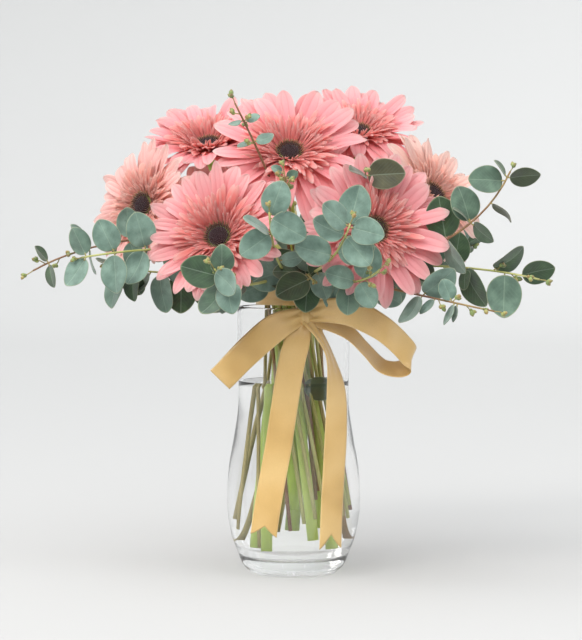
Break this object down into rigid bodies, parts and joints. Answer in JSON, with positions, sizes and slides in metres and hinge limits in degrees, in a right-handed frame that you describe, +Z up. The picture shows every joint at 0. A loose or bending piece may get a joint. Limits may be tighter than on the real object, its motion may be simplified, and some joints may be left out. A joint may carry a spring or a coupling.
{
  "type": "gerberas in a vase",
  "caption": "Tied bunch of pink gerberas with eucalyptus, standing in water in a clear glass vase with a heavy base, with a satin bow at its lip.",
  "frame": {"origin": "centre of the vase's flat foot, on the surface it stands on", "axes": "+Z up, +X to the viewer's right, -Y towards the viewer, the side with the bow"},
  "size_m": [0.377, 0.2796, 0.3683],
  "materials": {
    "vase_glass": "polished, clear",
    "water": "clear liquid",
    "satin_ribbon": "satin",
    "gerbera_stem": "fresh, slightly hairy",
    "gerbera_petals": "soft, ribbed",
    "gerbera_florets": "soft",
    "gerbera_disc": "velvety",
    "eucalyptus": "waxy, matt"
  },
  "bodies": {
    "root": {"vase": "vase_glass", "ribbon": "satin_ribbon", "gerbera_front_left_stem": "gerbera_stem", "gerbera_front_right_stem": "gerbera_stem", "gerbera_top_front_stem": "gerbera_stem", "gerbera_left_stem": "gerbera_stem", "gerbera_top_left_stem": "gerbera_stem", "gerbera_top_right_stem": "gerbera_stem", "gerbera_right_stem": "gerbera_stem", "gerbera_back_left_stem": "gerbera_stem", "gerbera_back_right_stem": "gerbera_stem", "eucalyptus_left_long": "eucalyptus", "eucalyptus_left_near": "eucalyptus", "eucalyptus_left_low": "eucalyptus", "eucalyptus_front_low_left": "eucalyptus", "eucalyptus_front_centre": "eucalyptus", "eucalyptus_front_collar": "eucalyptus", "eucalyptus_front_right": "eucalyptus", "eucalyptus_front_low_right": "eucalyptus", "eucalyptus_right_low": "eucalyptus", "eucalyptus_right_high": "eucalyptus", "eucalyptus_right_mid": "eucalyptus", "eucalyptus_top": "eucalyptus", "eucalyptus_middle_buds": "eucalyptus", "eucalyptus_right_gap": "eucalyptus", "eucalyptus_back_right": "eucalyptus", "eucalyptus_back_low_right": "eucalyptus", "eucalyptus_back_middle": "eucalyptus", "eucalyptus_back_low_left": "eucalyptus", "eucalyptus_back_left": "eucalyptus", "gerbera_front_left_disc": "gerbera_disc", "gerbera_front_right_disc": "gerbera_disc", "gerbera_top_front_disc": "gerbera_disc", "gerbera_left_disc": "gerbera_disc", "gerbera_top_left_disc": "gerbera_disc", "gerbera_top_right_disc": "gerbera_disc", "gerbera_right_disc": "gerbera_disc", "gerbera_back_left_disc": "gerbera_disc", "gerbera_back_right_disc": "gerbera_disc", "gerbera_front_left_florets": "gerbera_florets", "gerbera_front_right_florets": "gerbera_florets", "gerbera_top_front_florets": "gerbera_florets", "gerbera_left_florets": "gerbera_florets", "gerbera_top_left_florets": "gerbera_florets", "gerbera_top_right_florets": "gerbera_florets", "gerbera_right_florets": "gerbera_florets", "gerbera_back_left_florets": "gerbera_florets", "gerbera_back_right_florets": "gerbera_florets", "gerbera_front_left_petals": "gerbera_petals", "gerbera_front_right_petals": "gerbera_petals", "gerbera_top_front_petals": "gerbera_petals", "gerbera_left_petals": "gerbera_petals", "gerbera_top_left_petals": "gerbera_petals", "gerbera_top_right_petals": "gerbera_petals", "gerbera_right_petals": "gerbera_petals", "gerbera_back_left_petals": "gerbera_petals", "gerbera_back_right_petals": "gerbera_petals", "water": "water"}
  },
  "joints": []
}
